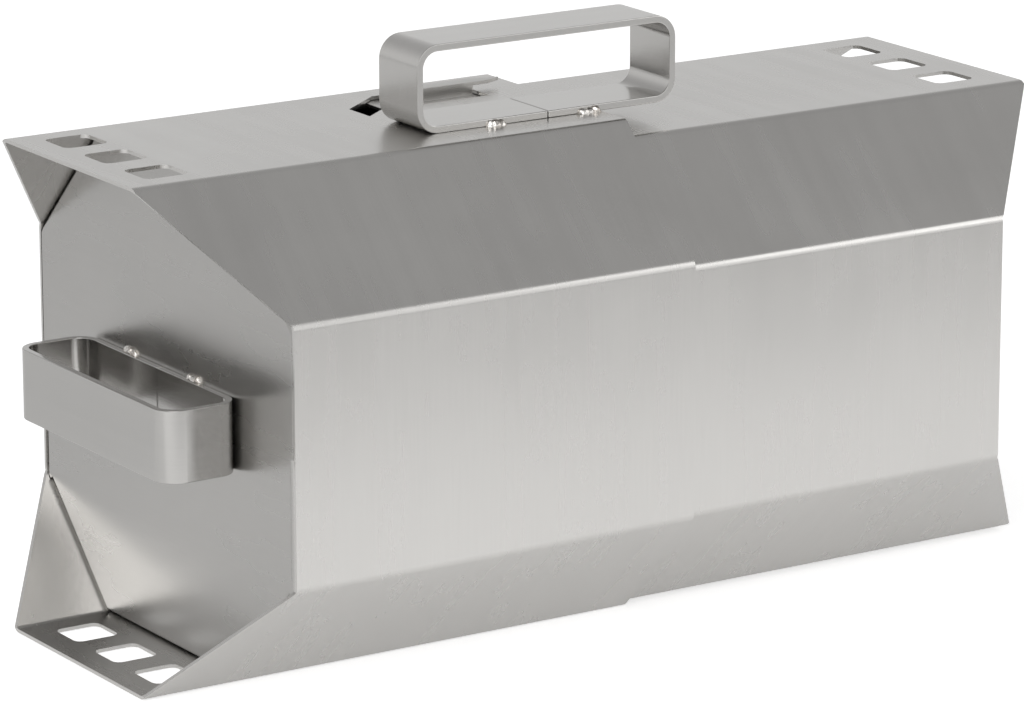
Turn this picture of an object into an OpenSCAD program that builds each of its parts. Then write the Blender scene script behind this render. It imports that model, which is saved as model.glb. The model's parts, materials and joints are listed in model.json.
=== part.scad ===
// Charcoal burner: two folded octagonal steel halves that slide into each other,
// with an end pan, a bar handle and flared wings on each half, and a vent slide on top.
// Millimetres, +X along the burner towards the inner half, +Z up, resting on z = 0.

/* [Folded section] */
// Width of the sleeve across its vertical faces
shell_w = 210; // [160:1:320]
// Height of the sleeve from its bottom face to its top face
shell_h = 210; // [160:1:320]
// How far each 45 degree corner face cuts into the section
corner_cut = 51; // [30:0.5:64]
// Outside radius of the folds
fold_r = 5; // [3.5:0.5:12]
// Thickness of the sheet that both shells are folded from
sheet_t = 1.5; // [0.8:0.1:2.5]
// Running clearance between the inner shell and the sleeve
slide_gap = 0.3; // [0.2:0.05:1]
// Running clearance between the inner shell's top and the vent's rails
top_room = 1.8; // [0.3:0.1:3]
// Extra clearance of the inner shell's upper corner faces
corner_room = 1; // [0:0.1:2]

/* [Lengths] */
// Length of the sleeve from its end plate to its mouth
sleeve_len = 190; // [150:1:320]
// Length of the inner shell from its end plate to its hidden edge
inner_len = 184; // [130:1:320]
// How far the inner shell sits in the sleeve when it is pushed home
overlap = 25; // [12:1:60]
// How far the sleeve's wings reach past its end plate
wing_left = 42; // [20:1:90]
// How far the inner half's wings reach past its end plate
wing_right = 45; // [20:1:90]

/* [Wing holes] */
// Holes in each wing
hole_count = 3; // [1:1:4]
// Side of each square hole
hole_side = 20; // [8:0.5:24]
// Corner radius of each hole
hole_r = 3.5; // [1:0.5:4]
// Distance between the middles of two holes
hole_pitch = 33; // [26:0.5:36]
// Distance from the end plate to the middle of the holes
hole_out = 20; // [12:0.5:26]

/* [End pans] */
// Thickness of the end pans
pan_t = 1.5; // [0.8:0.1:2.5]
// Depth of an end pan's flange, measured from its face
pan_depth = 14; // [8:0.5:30]
// Outside radius between an end pan's face and its flange
pan_edge_r = 3; // [2.6:0.1:6]
// Gap between an end pan's flange and its shell
pan_gap = 0.4; // [0.2:0.1:1]
// Diameter of the spot welds that carry an end pan
spot_d = 5; // [3:0.5:8]

/* [Handles] */
// Length of each handle
grip_len = 127; // [90:1:160]
// Height of the side handles over their end plate
side_grip_h = 35; // [26:1:60]
// Height of the top handle over the sleeve
top_grip_h = 37; // [26:1:60]
// Width of the flat bar
bar_w = 30; // [16:1:40]
// Thickness of the flat bar
bar_t = 3; // [2:0.25:5]
// Outside radius of the bar's bends
bar_r = 10; // [6:0.5:13]
// Width of the open butt joint in the middle of each handle's base
butt_gap = 0.4; // [0.2:0.1:2]
// Middle of the top handle, measured back from the sleeve's mouth
top_grip_back = 26; // [0:1:60]
// How far the top handle sits in front of the burner's middle plane
top_grip_front = 20; // [16:1:34]
// Radius of each weld bead
bead_r = 2.8; // [1.5:0.1:4]
// Distance between the two beads of a pair
bead_pitch = 4.6; // [2:0.1:6]
// Distance from the middle of a handle to each pair of beads
bead_out = 26; // [12:0.5:28]
// Gap that stays between the top handle's last beads and the sleeve's mouth
bead_edge = 0.6; // [0:0.1:4]

/* [Vent] */
// Length of the vent opening along the burner
vent_len = 64; // [50:1:90]
// Width of the vent opening
vent_w = 33; // [20:1:36]
// Length of the slanted end of the vent opening
vent_slant = 21; // [8:1:26]
// Distance from the sleeve's mouth to the near end of the opening
vent_back = 22; // [21:0.5:40]
// Distance from the vent opening's back edge to the top face's back fold
vent_edge = 13; // [11:0.5:16]
// Thickness of the vent slide and of its rails
vent_t = 1.5; // [0.8:0.1:2]
// Clearance all round the vent slide
vent_gap = 0.3; // [0.2:0.05:0.6]
// How far the vent slide reaches past the opening on each side
vent_lap = 3.5; // [2:0.5:6]
// How far the closed vent slide reaches past the opening at each end
vent_end = 1.5; // [0.5:0.5:3]
// How far the vent slide travels to close the opening
vent_travel = 18; // [8:1:20]
// Length of the upright that stands through the opening
riser_len = 35; // [16:1:40]
// Gap between the upright and the near end of the opening
riser_gap = 1.5; // [0.5:0.1:4]
// Distance from the opening's front edge to the upright
riser_back = 19; // [6:0.5:22]
// Room between the sleeve and the lip of the vent slide
lip_lift = 2.4; // [1:0.1:8]
// Depth of the lip
lip_w = 7; // [3:0.5:12]
// How far the lip's point reaches past the upright
lip_point = 15; // [4:1:24]
// How far a rail's lower lip reaches under the slide
rail_lip = 2.5; // [1.5:0.5:3]
// Width of a rail's welded flange
rail_foot = 5; // [3:0.5:7]

/* [Depth stops] */
// Length of each depth stop along the burner
stop_len = 10; // [5:0.5:20]
// How far a depth stop stands in from the sleeve's wall
stop_t = 3; // [2.5:0.1:6]
// Height of each depth stop
stop_h = 40; // [10:1:80]

/* [Hidden] */
$fn = 48;
fold_steps = 4;
fold_min = 0.3;
half = sqrt(0.5);

// Places along the burner, measured from its middle
total_len = wing_left + sleeve_len + inner_len - overlap + wing_right;
plate_l = -total_len / 2 + wing_left;
mouth = plate_l + sleeve_len;
inner_edge = mouth - overlap;
plate_r = inner_edge + inner_len;

// The vent slide and its rails hang under the sleeve's top sheet
slide_top = shell_h - sheet_t - vent_gap;
slide_low = slide_top - vent_t;
rail_low = slide_low - vent_gap - vent_t;

// The inner shell clears the sleeve at the sides and bottom and the rails at the top
inner_w = shell_w - 2 * (sheet_t + slide_gap);
inner_low = sheet_t + slide_gap;
inner_top = rail_low - top_room;
// Corner faces of the inner shell keep the same clearance, measured square to the face
cut_low = inner_cut(inner_low);
cut_top = inner_cut(shell_h - inner_top) + corner_room / half;
function inner_cut(inset) = corner_cut - (sheet_t + slide_gap) - inset
    + (sheet_t + slide_gap) / half;

// Places of the vent
vent_x1 = mouth - vent_back;
vent_x0 = vent_x1 - vent_len;
vent_y1 = shell_w / 2 - corner_cut - vent_edge;
vent_front = vent_y1 - vent_w;
slide_x1 = vent_x1 + vent_travel + vent_end;
slide_x0 = vent_x0 - vent_end + vent_travel;
slide_y0 = vent_front - vent_lap;
slide_y1 = vent_y1 + vent_lap;
rail_x0 = slide_x0 - vent_travel;
riser_x1 = vent_x1 - riser_gap;
riser_y = vent_front + riser_back;
lip_z = shell_h + lip_lift;

// Places of the top handle and its beads
top_grip_x = mouth - top_grip_back;
bead_span = bead_r + bead_pitch;
bead_last = mouth - bead_edge - bead_r - bead_pitch / 2 - top_grip_x;

// Distances of the section's eight faces from the axis y = 0, z = 0, by normal angle
function faces(w, low, top, cut_b, cut_t) = [
    w / 2, (w / 2 - cut_t + top) * half, top, (w / 2 - cut_t + top) * half,
    w / 2, (w / 2 - cut_b - low) * half, -low, (w / 2 - cut_b - low) * half
];

outer_faces = faces(shell_w, 0, shell_h, corner_cut, corner_cut);
inner_faces = faces(inner_w, inner_low, inner_top, cut_low, cut_top);

// Point where two neighbouring faces meet when both stand in by r
function corner(d, i, r) =
    let (a = 45 * i, p = d[i] - r, q = d[(i + 1) % 8] - r)
    [(p * sin(a + 45) - q * sin(a)) / half, (q * cos(a) - p * cos(a + 45)) / half];

// Outline of the folded section, moved in by inset, its folds round about fixed centres.
// A fold that would vanish at a deep inset keeps a radius of fold_min.
function outline(d, inset) = [
    let (r = max(fold_r, inset + fold_min))
    for (i = [0:7], k = [0:fold_steps])
        let (a = 45 * (i + k / fold_steps))
        corner(d, i, r) + (r - inset) * [cos(a), sin(a)]
];

// Stands a flat shape drawn in y, z up along X from x0 to x1
module along_x(x0, x1) {
    translate([x0, 0, 0])
        rotate([90, 0, 90])
            linear_extrude(x1 - x0)
                children();
}

// Stands a flat shape drawn in x, z up across the whole width
module across_y(width) {
    translate([0, width / 2, 0])
        rotate([90, 0, 0])
            linear_extrude(width)
                children();
}

// Rectangle with true round corners, its base line on y = 0
module round_rect(w, h, r) {
    translate([-w / 2 + r, 0])
        square([w - 2 * r, h]);
    translate([-w / 2, r])
        square([w, h - 2 * r]);
    for (x = [-w / 2 + r, w / 2 - r], y = [r, h - r])
        translate([x, y])
            circle(r);
}

// Folded tube whose corner faces widen into a wing at one end.
// The cut runs from the vertical faces at x = plate out to the wing tips at x = tip.
module winged_shell(d, plate, tip, edge, cut_b, cut_t) {
    low = -d[6];
    top = d[2];
    intersection() {
        along_x(min(tip, edge) - 1, max(tip, edge) + 1)
            difference() {
                polygon(outline(d, 0));
                polygon(outline(d, sheet_t));
            }
        across_y(2 * shell_w)
            polygon([
                [edge, low], [tip, low], [tip, low + sheet_t], [plate, low + cut_b],
                [plate, top - cut_t], [tip, top - sheet_t], [tip, top], [edge, top]
            ]);
    }
}

// Row of square holes through the top and bottom wings
module wing_holes(plate, side) {
    for (i = [0:hole_count - 1])
        translate([
            plate + side * hole_out,
            (i - (hole_count - 1) / 2) * hole_pitch - hole_side / 2,
            -1
        ])
            linear_extrude(shell_h + 2)
                round_rect(hole_side, hole_side, hole_r);
}

// Opening of the vent: square at the mouth's end, slanted at the far end
module vent_hole() {
    translate([0, 0, shell_h - sheet_t - 1])
        linear_extrude(sheet_t + 2)
            polygon([
                [vent_x0, vent_front], [vent_x0 + vent_slant / 2, vent_front + vent_w / 4],
                [vent_x1, vent_front + vent_w / 4], [vent_x1, vent_y1],
                [vent_x0 + vent_slant, vent_y1], [vent_x0, vent_front + vent_w / 2]
            ]);
}

// End pan, drawn towards +X from its face at x = 0: a flat octagonal plate with a flange
// folded into its shell. Planes that touch the edge's arc round it over to the flange.
module end_pan(d) {
    inset = sheet_t + pan_gap;
    r = pan_edge_r;
    difference() {
        along_x(0, pan_depth)
            polygon(outline(d, inset));
        along_x(pan_t, pan_depth + 1)
            polygon(outline(d, inset + pan_t));
        for (i = [0:7], b = [30, 60])
            rotate([45 * i, 0, 0])
                translate([r, d[i] - inset - r, 0])
                    rotate([0, 0, 180 - b])
                        translate([r, -3 * r, -shell_w / 2])
                            cube([2 * r, 6 * r, shell_w]);
    }
}

// Spot welds that fill the gap between a pan's flange and its shell, one on each face
module pan_spots(d) {
    for (i = [0:7])
        let (
            a = 45 * i,
            mid = (corner(d, (i + 7) % 8, 0) + corner(d, i, 0)) / 2
        )
        translate([
            pan_depth / 2 + pan_edge_r / 2,
            mid[0] - (sheet_t + pan_gap) * cos(a),
            mid[1] - (sheet_t + pan_gap) * sin(a)
        ])
            rotate([a - 90, 0, 0])
                cylinder(h = pan_gap, d = spot_d);
}

// Handle: a closed loop of flat bar standing on z = 0 along X, butt joint underneath
module bar_loop(height) {
    across_y(bar_w)
        difference() {
            round_rect(grip_len, height, bar_r);
            translate([0, bar_t])
                round_rect(grip_len - 2 * bar_t, height - 2 * bar_t, bar_r - bar_t);
            translate([-butt_gap / 2, -1])
                square([butt_gap, bar_t + 2]);
        }
}

// Pairs of weld beads along both edges of a handle's base, at the given places
module bead_pairs(places) {
    for (x = places, side = [-1, 1])
        difference() {
            for (k = [-1, 1])
                translate([x + k * bead_pitch / 2, side * bar_w / 2, 0])
                    sphere(bead_r, $fn = 20);
            translate([x - bead_span, -bar_w / 2, -bead_r])
                cube([2 * bead_span, bar_w, 3 * bead_r]);
            translate([x - bead_span, -bar_w, -2 * bead_r])
                cube([2 * bead_span, 2 * bar_w, 2 * bead_r]);
        }
}

// Puts a handle drawn on z = 0 on the left end plate
module on_left_plate() {
    translate([plate_l, 0, shell_h / 2])
        rotate([90, 0, 90])
            mirror([0, 0, 1])
                children();
}

// Puts a handle drawn on z = 0 on the right end plate
module on_right_plate() {
    translate([plate_r, 0, shell_h / 2])
        rotate([90, 0, 90])
            children();
}

// Puts a handle drawn on z = 0 on the sleeve
module on_sleeve() {
    translate([top_grip_x, -top_grip_front, shell_h])
        children();
}

// Rail that carries one long edge of the vent slide, its web outside y = 0
module vent_rail() {
    along_x(rail_x0, slide_x1)
        polygon([
            [-rail_lip, rail_low], [vent_gap + vent_t, rail_low],
            [vent_gap + vent_t, shell_h - sheet_t - vent_t],
            [vent_gap + vent_t + rail_foot, shell_h - sheet_t - vent_t],
            [vent_gap + vent_t + rail_foot, shell_h - sheet_t],
            [vent_gap, shell_h - sheet_t], [vent_gap, rail_low + vent_t],
            [-rail_lip, rail_low + vent_t]
        ]);
}

module outer_shell() {
    color("silver")
        difference() {
            winged_shell(
                outer_faces, plate_l, plate_l - wing_left, mouth, corner_cut, corner_cut
            );
            wing_holes(plate_l, -1);
            vent_hole();
        }
}

module outer_end_plate() {
    color("darkgray")
        translate([plate_l, 0, 0])
            end_pan(outer_faces);
}

module outer_plate_welds() {
    color("gainsboro")
        translate([plate_l, 0, 0])
            pan_spots(outer_faces);
}

module left_handle() {
    color("lightgray")
        on_left_plate()
            bar_loop(side_grip_h);
}

module left_handle_welds() {
    color("gainsboro")
        on_left_plate()
            bead_pairs([-bead_out, bead_out]);
}

module top_handle() {
    color("lightgray")
        on_sleeve()
            bar_loop(top_grip_h);
}

module top_handle_welds() {
    color("gainsboro")
        on_sleeve()
            bead_pairs([-bead_out, bead_last]);
}

module vent_rail_front() {
    color("gray")
        translate([0, slide_y0, 0])
            mirror([0, 1, 0])
                vent_rail();
}

module vent_rail_back() {
    color("gray")
        translate([0, slide_y1, 0])
            vent_rail();
}

// Depth stop on the sleeve's wall, against the hidden edge of the inner shell
module depth_stop() {
    translate([
        inner_edge - slide_gap - stop_len,
        shell_w / 2 - sheet_t - stop_t,
        (shell_h - stop_h) / 2
    ])
        cube([stop_len, stop_t, stop_h]);
}

module depth_stop_front() {
    color("gray")
        mirror([0, 1, 0])
            depth_stop();
}

module depth_stop_back() {
    color("gray")
        depth_stop();
}

// Vent slide: a flat plate under the sleeve, an upright through the opening and a lip
module vent_slide() {
    color("lightgray") {
        translate([slide_x0, slide_y0, slide_low])
            cube([slide_x1 - slide_x0, slide_y1 - slide_y0, vent_t]);
        translate([riser_x1 - riser_len, riser_y, slide_low])
            cube([riser_len, vent_t, lip_z - slide_low + vent_t]);
        translate([0, riser_y, lip_z])
            linear_extrude(vent_t)
                polygon([
                    [riser_x1 - riser_len, 0], [riser_x1 + lip_point / 2, 0],
                    [riser_x1 + lip_point, lip_w / 2], [riser_x1, lip_w],
                    [riser_x1 - riser_len, lip_w]
                ]);
    }
}

module inner_shell() {
    color("silver")
        difference() {
            winged_shell(
                inner_faces, plate_r, plate_r + wing_right, inner_edge, cut_low, cut_top
            );
            wing_holes(plate_r, 1);
        }
}

module inner_end_plate() {
    color("darkgray")
        translate([plate_r, 0, 0])
            mirror([1, 0, 0])
                end_pan(inner_faces);
}

module inner_plate_welds() {
    color("gainsboro")
        translate([plate_r, 0, 0])
            mirror([1, 0, 0])
                pan_spots(inner_faces);
}

module right_handle() {
    color("lightgray")
        on_right_plate()
            bar_loop(side_grip_h);
}

module right_handle_welds() {
    color("gainsboro")
        on_right_plate()
            bead_pairs([-bead_out, bead_out]);
}

outer_shell();
outer_end_plate();
outer_plate_welds();
left_handle();
left_handle_welds();
top_handle();
top_handle_welds();
vent_rail_front();
vent_rail_back();
depth_stop_front();
depth_stop_back();
vent_slide();
inner_shell();
inner_end_plate();
inner_plate_welds();
right_handle();
right_handle_welds();
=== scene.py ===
"""Charcoal burner in brushed stainless steel: finishes, weld beads, studio and camera.

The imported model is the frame. Every sheet and bar piece is a finished copy of its node,
with softened edges and smooth folds, and it rides on the same body as the node. The
beads that hold the handles are made anew. Lengths are in metres.
"""
import json
import math
import bmesh
import bpy
from mathutils import Matrix, Vector


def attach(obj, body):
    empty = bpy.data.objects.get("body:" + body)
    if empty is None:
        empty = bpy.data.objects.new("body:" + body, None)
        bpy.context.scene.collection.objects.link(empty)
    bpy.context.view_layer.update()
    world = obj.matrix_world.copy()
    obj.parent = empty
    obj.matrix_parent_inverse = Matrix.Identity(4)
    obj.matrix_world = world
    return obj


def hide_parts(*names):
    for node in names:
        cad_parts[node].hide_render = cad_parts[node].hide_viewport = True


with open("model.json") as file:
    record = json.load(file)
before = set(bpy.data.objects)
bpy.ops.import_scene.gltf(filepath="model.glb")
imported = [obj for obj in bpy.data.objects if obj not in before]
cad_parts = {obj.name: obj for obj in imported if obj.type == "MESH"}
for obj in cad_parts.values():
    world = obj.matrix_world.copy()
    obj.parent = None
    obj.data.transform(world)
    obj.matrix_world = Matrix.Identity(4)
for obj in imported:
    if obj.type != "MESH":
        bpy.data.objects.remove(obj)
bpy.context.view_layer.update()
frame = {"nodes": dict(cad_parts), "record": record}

MM = 0.001
NODES = frame["nodes"]
BODY_OF = {n: b for b, names in frame["record"]["behaviour"]["bodies"].items() for n in names}


# Node maths: a wrapped socket takes + - * and adds the Math nodes itself

class Value:
    def __init__(self, tree, socket):
        self.tree, self.socket = tree, socket

    def _math(self, kind, first, second, clamp=False):
        made = self.tree.nodes.new("ShaderNodeMath")
        made.operation, made.use_clamp = kind, clamp
        for place, value in enumerate((first, second)):
            if isinstance(value, Value):
                self.tree.links.new(value.socket, made.inputs[place])
            else:
                made.inputs[place].default_value = value
        return Value(self.tree, made.outputs[0])

    def __add__(self, other): return self._math("ADD", self, other)
    def __radd__(self, other): return self._math("ADD", self, other)
    def __sub__(self, other): return self._math("SUBTRACT", self, other)
    def __rsub__(self, other): return self._math("SUBTRACT", other, self)
    def __mul__(self, other): return self._math("MULTIPLY", self, other)
    def __rmul__(self, other): return self._math("MULTIPLY", self, other)
    def clamped(self): return self._math("ADD", self, 0.0, clamp=True)
    def greatest(self, other): return self._math("MAXIMUM", self, other)

    def ramp(self, low, high):
        """0 below low, 1 above high, smooth between."""
        made = self.tree.nodes.new("ShaderNodeMapRange")
        made.interpolation_type = "SMOOTHSTEP"
        self.tree.links.new(self.socket, made.inputs["Value"])
        made.inputs["From Min"].default_value = low
        made.inputs["From Max"].default_value = high
        return Value(self.tree, made.outputs["Result"])


class Nodes:
    """The tree of a material, world or Geometry Nodes group, with short ways to add nodes."""

    def __init__(self, tree):
        self.tree = tree
        tree.nodes.clear()

    def _fill(self, pairs):
        for place, value in pairs:
            if isinstance(value, Value):
                self.tree.links.new(value.socket, place)
            else:
                place.default_value = value

    def add(self, kind, out=0, settings=None, **sockets):
        """Any node: its settings first, then its sockets by name, with _ for a space."""
        node = self.tree.nodes.new(kind)
        for name, value in (settings or {}).items():
            setattr(node, name, value)
        for name, value in sockets.items():
            label = name.replace("_", " ").lower()
            place = [s for s in node.inputs if s.enabled and s.name.lower() == label][0]
            self._fill([(place, value)])
        return Value(self.tree, node.outputs[out]) if node.outputs else None

    def both(self, first, second):
        """Sum of two shaders."""
        node = self.tree.nodes.new("ShaderNodeAddShader")
        self._fill(zip(node.inputs, (first, second)))
        return Value(self.tree, node.outputs[0])

    def mix(self, share, a, b):
        """Colour a where share is 0 and b where it is 1."""
        node = self.tree.nodes.new("ShaderNodeMix")
        node.data_type = "RGBA"
        factor, first, second, result = 0, 6, 7, 2      # places of the colour mix's sockets
        self._fill([(node.inputs[factor], share), (node.inputs[first], a),
                    (node.inputs[second], b)])
        return Value(self.tree, node.outputs[result])

    def vector(self, kind, a, b, out=0):
        """One Vector Math node; b is its scale for SCALE."""
        node = self.tree.nodes.new("ShaderNodeVectorMath")
        node.operation = kind
        second = node.inputs["Scale"] if kind == "SCALE" else node.inputs[1]
        self._fill([(node.inputs[0], a), (second, b)])
        return Value(self.tree, node.outputs[out])

    def place(self, scale=(1, 1, 1)):
        """Object coordinates, scaled per axis."""
        here = self.add("ShaderNodeTexCoord", out="Object")
        return self.add("ShaderNodeMapping", Vector=here, Scale=scale)

    def noise(self, place, scale, detail):
        return self.add("ShaderNodeTexNoise", Vector=place, Scale=scale, Detail=detail,
                        Roughness=0.55)

    def axes(self, place):
        node = self.tree.nodes.new("ShaderNodeSeparateXYZ")
        self._fill([(node.inputs[0], place)])
        return [Value(self.tree, s) for s in node.outputs]


# Finishes

STEEL_WARMTH = 0.018        # how far stainless steel leans from grey to straw
DARKEST, LIGHTEST = 0.86, 1.12      # shares of the tone between which the sheet varies
BROAD_LINES = 0.12          # broad brush marks to fine ones, in lines per metre
CLOUD_SCALE = 14.0          # soft stains, about 70 mm across
BUMP_DEPTH = 0.4 * MM
BEAD_BLOTCH, BEAD_SOOT, BEAD_GRAIN = 260.0, 700.0, 900.0    # marks per metre on weld metal
STRAW, BROWN, SOOT = (0.74, 0.72, 0.69, 1), (0.50, 0.46, 0.42, 1), (0.16, 0.155, 0.15, 1)
WHITE = (1, 1, 1, 1)


def grey(level, warm=0.0):
    return (level * (1 + warm), level, level * (1 - 1.6 * warm), 1.0)


def material_tree(name):
    material = bpy.data.materials.new(name)
    material.use_nodes = True
    return material, Nodes(material.node_tree)


def brushed_steel(name, tone, rough, grain, cloud=0.05, relief=0.05, streak=0.10):
    """Brushed stainless sheet. grain gives the brush lines per metre along each axis."""
    material, n = material_tree(name)
    fine = n.noise(n.place(grain), 1.0, 2.0)
    broad = n.noise(n.place([g * BROAD_LINES for g in grain]), 1.0, 3.0)
    clouds = n.noise(n.place(), CLOUD_SCALE, 4.0)
    lines = fine - 0.5 + (broad - 0.5) * 0.7
    shade = (0.5 + lines * streak * 4 + (clouds - 0.5) * cloud * 6).clamped()
    colour = n.mix(shade, grey(tone * DARKEST, STEEL_WARMTH),
                   grey(tone * LIGHTEST, STEEL_WARMTH))
    roughness = (rough + (broad - 0.5) * 0.10 + (clouds - 0.5) * 0.14).clamped()
    bump = n.add("ShaderNodeBump", Height=fine, Strength=relief, Distance=BUMP_DEPTH)
    shader = n.add("ShaderNodeBsdfPrincipled", Base_Color=colour, Metallic=1.0,
                   Roughness=roughness, Normal=bump)
    n.add("ShaderNodeOutputMaterial", Surface=shader)
    return material


def weld_metal(name):
    """Bright weld metal with straw and brown heat tint and specks of soot."""
    material, n = material_tree(name)
    place = n.place()
    blotch = n.noise(place, BEAD_BLOTCH, 3.0)
    tint = n.mix(blotch.ramp(0.35, 0.7), STRAW, BROWN)
    soot = n.noise(place, BEAD_SOOT, 2.0).ramp(0.60, 0.72)
    colour = n.mix(soot, tint, SOOT)
    bump = n.add("ShaderNodeBump", Height=n.noise(place, BEAD_GRAIN, 2.0), Strength=0.35,
                 Distance=BUMP_DEPTH)
    shader = n.add("ShaderNodeBsdfPrincipled", Base_Color=colour, Metallic=1.0,
                   Roughness=0.17 + blotch * 0.12, Normal=bump)
    n.add("ShaderNodeOutputMaterial", Surface=shader)
    return material


# Brush lines run round the section on the shells, along the bar on the handles and
# level across the end plates
SHELL = brushed_steel("shell_brushed_steel", 0.60, 0.27, (900, 30, 30), relief=0.012,
                      streak=0.045, cloud=0.06)
# Painted shade: the end plates get a darker tone than the shell, for the shade on the faces
# turned away from the light
PLATE_PAINTED_SHADE = brushed_steel("plate_satin_steel_painted_shade", 0.46, 0.28, (60, 40, 700), relief=0.010,
                      streak=0.03, cloud=0.09)
# Painted shade: the side bars get a darker tone than the top bar of the same stock, for the
# shade on the faces turned away from the light
SIDE_BAR_PAINTED_SHADE = brushed_steel("side_bar_steel_painted_shade", 0.48, 0.17, (25, 25, 2600), relief=0.03,
                         streak=0.07)
TOP_BAR = brushed_steel("top_bar_steel", 0.57, 0.20, (25, 2600, 25), relief=0.03,
                        streak=0.08)
VENT = brushed_steel("vent_satin_steel", 0.54, 0.30, (60, 900, 60))
WELD = weld_metal("bright_weld_metal")

FINISH = {
    "outer_shell": SHELL, "inner_shell": SHELL,
    "outer_end_plate": PLATE_PAINTED_SHADE, "inner_end_plate": PLATE_PAINTED_SHADE,
    "left_handle": SIDE_BAR_PAINTED_SHADE, "right_handle": SIDE_BAR_PAINTED_SHADE, "top_handle": TOP_BAR,
    "vent_slide": VENT, "vent_rail_front": VENT, "vent_rail_back": VENT,
    "depth_stop_front": VENT, "depth_stop_back": VENT,
}


# Sheet and bar: each node's own shape with softened edges

SHELL_EDGE, BAR_EDGE, OTHER_EDGE = 0.25 * MM, 0.45 * MM, 0.2 * MM
EDGE = {"outer_shell": SHELL_EDGE, "inner_shell": SHELL_EDGE, "left_handle": BAR_EDGE,
        "right_handle": BAR_EDGE, "top_handle": BAR_EDGE}
SHARP = math.radians(32)        # sheared edges are sharper than this, folds aren't
FLAT = math.radians(0.5)
SAME_POINT = 0.002 * MM


def finished_copy(node):
    """A copy of the node as one closed mesh, with a live bevel on its sheared edges."""
    mesh = bmesh.new()
    mesh.from_mesh(NODES[node].data)
    bmesh.ops.remove_doubles(mesh, verts=mesh.verts, dist=SAME_POINT)
    bmesh.ops.dissolve_limit(mesh, angle_limit=FLAT, verts=mesh.verts,
                             edges=mesh.edges, use_dissolve_boundaries=False)
    data = bpy.data.meshes.new(node + "_finished")
    mesh.to_mesh(data)
    mesh.free()
    piece = bpy.data.objects.new(node + "_finished", data)
    bpy.context.scene.collection.objects.link(piece)
    bevel = piece.modifiers.new("edge", "BEVEL")
    bevel.width = EDGE.get(node, OTHER_EDGE)
    bevel.segments = 2
    bevel.limit_method = "ANGLE"
    bevel.angle_limit = SHARP
    return piece


def applied(piece):
    """Turns the piece into a plain mesh, as its modifiers leave it."""
    bpy.context.view_layer.update()
    graph = bpy.context.evaluated_depsgraph_get()
    data = bpy.data.meshes.new_from_object(piece.evaluated_get(graph))
    data.name = piece.name
    piece.modifiers.clear()
    piece.data = data
    return data


def shaded(piece, material):
    """Applies the piece's modifiers, and gives it its material and smooth folds."""
    data = applied(piece)
    data.materials.clear()
    data.materials.append(material)
    for face in data.polygons:
        face.use_smooth = True
    data.set_sharp_from_angle(angle=SHARP)


def stand_in(piece, node):
    """Puts the piece in the node's place, on the node's body."""
    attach(piece, BODY_OF[node])
    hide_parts(node)


def dress(node):
    """Replaces the node with its finished copy."""
    piece = finished_copy(node)
    shaded(piece, FINISH[node])
    weighted = piece.modifiers.new("flat_faces", "WEIGHTED_NORMAL")
    weighted.keep_sharp = True
    applied(piece)
    stand_in(piece, node)


# Weld beads: lumpy runs of beads at the edges of the handles' bars

BEAD_RADIUS, BEAD_PITCH = 2.8 * MM, 2.6 * MM
BEAD_LUMP = 1.2 * MM
LUMPS_PER_METRE = 420.0
SMALLEST_BEAD, LARGEST_BEAD = 0.72, 1.04        # shares of the radius, along each axis
FULL_TURN = 6.28
TURN_SEED_STEP = 7
SEAM_HALF = 2.7 * MM        # half the length of each run of beads
SINK = 0.3 * MM             # how deep the beads reach into the sheet
FIRST_SEED = 11

# Where the bars meet the sheets: outer faces of the plates and the sleeve's top, middle of
# the bars, half a bar's width, and how far each run is from the handle's middle
LEFT_FACE, RIGHT_FACE, TOP_FACE = -0.176, 0.173, 0.210
SIDE_MIDDLE, TOP_MIDDLE, BAR_HALF = 0.105, -0.020, 0.015
SIDE_OUT = 0.026
TOP_RUNS = (-0.038, 0.0083)

BAR_EDGES = (-BAR_HALF, BAR_HALF)


def side_runs(face):
    """Middle and direction of each run of beads on a side handle."""
    return [((face, y, SIDE_MIDDLE + z), (0, 1, 0))
            for y in (-SIDE_OUT, SIDE_OUT) for z in BAR_EDGES]


# For each node: the way out of the sheet, the sheet's height that way, and the runs
SEAMS = {
    "left_handle_welds": ((-1, 0, 0), -LEFT_FACE, side_runs(LEFT_FACE)),
    "right_handle_welds": ((1, 0, 0), RIGHT_FACE, side_runs(RIGHT_FACE)),
    "top_handle_welds": ((0, 0, 1), TOP_FACE, [
        ((x, TOP_MIDDLE + y, TOP_FACE), (1, 0, 0)) for x in TOP_RUNS for y in BAR_EDGES]),
}


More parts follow.
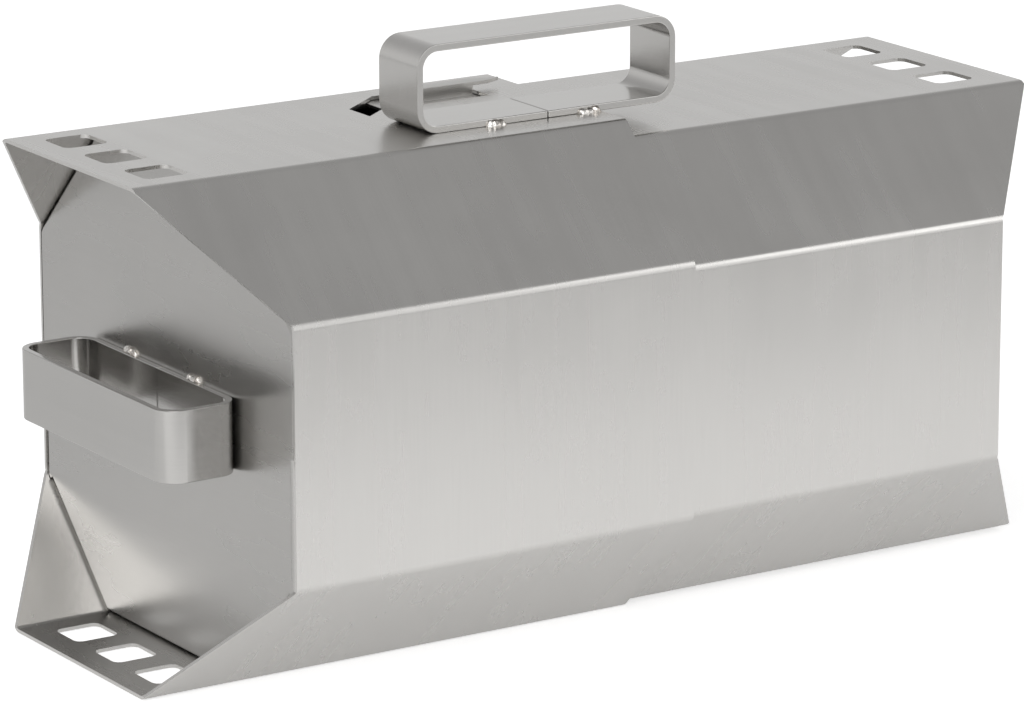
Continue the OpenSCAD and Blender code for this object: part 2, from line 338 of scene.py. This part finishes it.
def weld_tree():
    """Lumpy weld beads along short seams, flat where they meet the sheet."""
    tree = bpy.data.node_groups.new("weld_beads", "GeometryNodeTree")
    face = tree.interface
    face.new_socket("Beads", in_out="OUTPUT", socket_type="NodeSocketGeometry")
    face.new_socket("Seams", in_out="INPUT", socket_type="NodeSocketGeometry")
    for name, kind in (("Bead Radius", "Float"), ("Bead Pitch", "Float"), ("Lump", "Float"),
                       ("Seed", "Int"), ("Away", "Vector"), ("Foot", "Float"),
                       ("Metal", "Material")):
        face.new_socket(name, in_out="INPUT", socket_type="NodeSocket" + kind)
    n = Nodes(tree)
    group = tree.nodes.new("NodeGroupInput")
    given = {s.name: Value(tree, s) for s in group.outputs if s.name}

    # Beads of uneven size and turn, spaced along the seams
    seams = n.add("GeometryNodeMeshToCurve", Mesh=given["Seams"])
    spots = n.add("GeometryNodeResampleCurve", settings={"mode": "LENGTH"}, Curve=seams,
                  Length=given["Bead Pitch"])
    ball = n.add("GeometryNodeMeshIcoSphere", Radius=given["Bead Radius"], Subdivisions=4)
    size = n.add("FunctionNodeRandomValue", settings={"data_type": "FLOAT_VECTOR"},
                 Min=(SMALLEST_BEAD,) * 3, Max=(LARGEST_BEAD,) * 3, Seed=given["Seed"])
    turn = n.add("FunctionNodeRandomValue", settings={"data_type": "FLOAT_VECTOR"},
                 Min=(0, 0, 0), Max=(FULL_TURN,) * 3, Seed=given["Seed"] + TURN_SEED_STEP)
    set_out = n.add("GeometryNodeInstanceOnPoints", Points=spots, Instance=ball,
                    Rotation=turn, Scale=size)
    whole = n.add("GeometryNodeRealizeInstances", Geometry=set_out)

    # Lumps, and nothing lower than the foot, so that no bead comes through the sheet
    rough = n.vector("SUBTRACT", n.add("ShaderNodeTexNoise", out=1, Scale=LUMPS_PER_METRE,
                                       Detail=2.0), (0.5, 0.5, 0.5))
    lumps = n.vector("SCALE", rough, given["Lump"])
    spot = n.vector("ADD", n.add("GeometryNodeInputPosition"), lumps)
    height = n.vector("DOT_PRODUCT", spot, given["Away"], out=1) - given["Foot"]
    raised = n.vector("SCALE", given["Away"], (0 - height).greatest(0.0))
    lumpy = n.add("GeometryNodeSetPosition", Geometry=whole,
                  Position=n.vector("ADD", spot, raised))
    metal = n.add("GeometryNodeSetMaterial", Geometry=lumpy, Material=given["Metal"])
    out = tree.nodes.new("NodeGroupOutput")
    tree.links.new(metal.socket, out.inputs[0])
    return tree


def weld_beads(node, tree, seed):
    """The node's beads, run along the same seams, in the node's place."""
    away, surface, runs = SEAMS[node]
    ends = [Vector(middle) + Vector(along) * SEAM_HALF * side
            for middle, along in runs for side in (-1, 1)]
    data = bpy.data.meshes.new(node + "_seams")
    data.from_pydata(ends, [(i, i + 1) for i in range(0, len(ends), 2)], [])
    piece = bpy.data.objects.new(node + "_beads", data)
    bpy.context.scene.collection.objects.link(piece)
    beads = piece.modifiers.new("beads", "NODES")
    beads.node_group = tree
    given = {"Bead Radius": BEAD_RADIUS, "Bead Pitch": BEAD_PITCH, "Lump": BEAD_LUMP,
             "Seed": seed, "Away": away, "Foot": surface - SINK, "Metal": WELD}
    for socket in tree.interface.items_tree:
        if socket.in_out == "INPUT" and socket.name in given:
            beads[socket.identifier] = given[socket.name]
    shaded(piece, WELD)
    stand_in(piece, node)


for node in FINISH:
    dress(node)
beads_tree = weld_tree()
for seed, node in enumerate(SEAMS, FIRST_SEED):
    weld_beads(node, beads_tree, seed)
# The spot welds lie hidden between sheets, so they keep their CAD meshes
for node in ("outer_plate_welds", "inner_plate_welds"):
    NODES[node].data.materials.clear()
    NODES[node].data.materials.append(WELD)


# Studio: camera as fitted to the photograph, pale floor, soft light

CAMERA_PLACE = Vector((-1.22781, -1.89443, 0.69791))
CAMERA_AZIMUTH, CAMERA_ELEVATION, CAMERA_ROLL = -32.7889, 14.8186, -0.0841
CAMERA_LENS, CAMERA_SENSOR = 193.69, 36
CAMERA_NEAREST, CAMERA_FARTHEST = 0.1, 60

FLOOR_REACH = 12.0
FLOOR_DROP = 0.3 * MM       # keeps the floor clear of the faces that stand on it
FLOOR_COLOUR = (0.80, 0.80, 0.80, 1)
FLOOR_LIFT = 0.58           # makes the floor white to the camera
MIRROR_LIFT = 0.43          # how much whiter the steel sees the floor

# Where the floor that the steel sees loses its lift, and how much of it: further in
# front, under the burner, and behind it. Each is a pair of distances from the middle.
FRONT_FADE, FRONT_LOSS = (0.36, 0.62), 0.95
UNDER_FADE, UNDER_LOSS = (0.08, 0.22), 0.45
BEHIND_FADE, BEHIND_LOSS = (0.02, 0.30), 0.65

ZENITH, HORIZON_BACK, HORIZON_FRONT = 0.40, 0.77, 1.05
FRONT_TURN = (-0.2, 0.6)    # horizon's change from back to front, by direction along -Y
DOME_RISE = (0.18, 0.78)    # change from horizon to zenith, by direction along Z


def camera():
    a, e, r = (math.radians(v) for v in (CAMERA_AZIMUTH, CAMERA_ELEVATION, CAMERA_ROLL))
    back = Vector((math.sin(a) * math.cos(e), -math.cos(a) * math.cos(e), math.sin(e)))
    right = Vector((math.cos(a), math.sin(a), 0))
    up = back.cross(right)
    right, up = (right * math.cos(r) + up * math.sin(r),
                 up * math.cos(r) - right * math.sin(r))
    data = bpy.data.cameras.new("camera")
    data.lens, data.sensor_width = CAMERA_LENS, CAMERA_SENSOR
    data.clip_start, data.clip_end = CAMERA_NEAREST, CAMERA_FARTHEST
    made = bpy.data.objects.new("camera", data)
    turn = Matrix((right, up, back)).transposed()
    made.matrix_world = Matrix.Translation(CAMERA_PLACE) @ turn.to_4x4()
    bpy.context.scene.collection.objects.link(made)
    bpy.context.scene.camera = made


def lamp(name, place, target, size, power):
    """Square soft light, turned from its place towards the target."""
    data = bpy.data.lights.new(name, "AREA")
    data.shape = "SQUARE"
    data.size, data.energy = size, power
    made = bpy.data.objects.new(name, data)
    toward = Vector(target) - Vector(place)
    made.matrix_world = (Matrix.Translation(place)
                         @ toward.to_track_quat("-Z", "Y").to_matrix().to_4x4())
    bpy.context.scene.collection.objects.link(made)


def floor():
    data = bpy.data.meshes.new("floor")
    data.from_pydata([(x * FLOOR_REACH, y * FLOOR_REACH, 0)
                      for x, y in ((-1, -1), (1, -1), (1, 1), (-1, 1))], [], [(0, 1, 2, 3)])
    made = bpy.data.objects.new("floor", data)
    made.location.z = -FLOOR_DROP
    bpy.context.scene.collection.objects.link(made)
    material, n = material_tree("floor_white")
    seen = n.add("ShaderNodeLightPath", out="Is Camera Ray")
    mirrored = (n.add("ShaderNodeLightPath", out="Is Glossy Ray")
                + n.add("ShaderNodeLightPath", out="Is Transmission Ray")).clamped()
    y = n.axes(n.add("ShaderNodeTexCoord", out="Object"))[1]
    in_front = (0 - y).ramp(*FRONT_FADE)
    under = 1 - y.greatest(0 - y).ramp(*UNDER_FADE)
    behind = y.ramp(*BEHIND_FADE)
    strength = (FLOOR_LIFT * seen + MIRROR_LIFT * mirrored * (1 - in_front * FRONT_LOSS)
                * (1 - under * UNDER_LOSS) * (1 - behind * BEHIND_LOSS))
    paper = n.add("ShaderNodeBsdfDiffuse", Color=FLOOR_COLOUR)
    lift = n.add("ShaderNodeEmission", Color=WHITE, Strength=strength)
    n.add("ShaderNodeOutputMaterial", Surface=n.both(paper, lift))
    data.materials.append(material)


def studio_world():
    """White to the camera; to everything else a soft dome, paler in front and low down."""
    world = bpy.data.worlds.new("studio")
    bpy.context.scene.world = world
    world.use_nodes = True
    n = Nodes(world.node_tree)
    y, z = n.axes(n.add("ShaderNodeTexCoord", out="Generated"))[1:]
    horizon = n.mix((0 - y).ramp(*FRONT_TURN), grey(HORIZON_BACK), grey(HORIZON_FRONT))
    dome = n.mix(z.ramp(*DOME_RISE), horizon, grey(ZENITH))
    seen = n.add("ShaderNodeLightPath", out="Is Camera Ray")
    colour = n.mix(seen, dome, WHITE)
    n.add("ShaderNodeOutputWorld", Surface=n.add("ShaderNodeBackground", Color=colour))


camera()
floor()
studio_world()
# Place, target, size in metres and power in watts
lamp("key", (-1.6, -2.2, 1.6), (0, 0, 0.1), 2.0, 16)
lamp("over_left", (-1.5, -0.8, 2.3), (-0.2, 0, 0.1), 1.6, 20)
lamp("fill", (2.4, -2.0, 1.8), (0, 0, 0.1), 1.6, 10)

bpy.context.scene.view_settings.view_transform = "Standard"
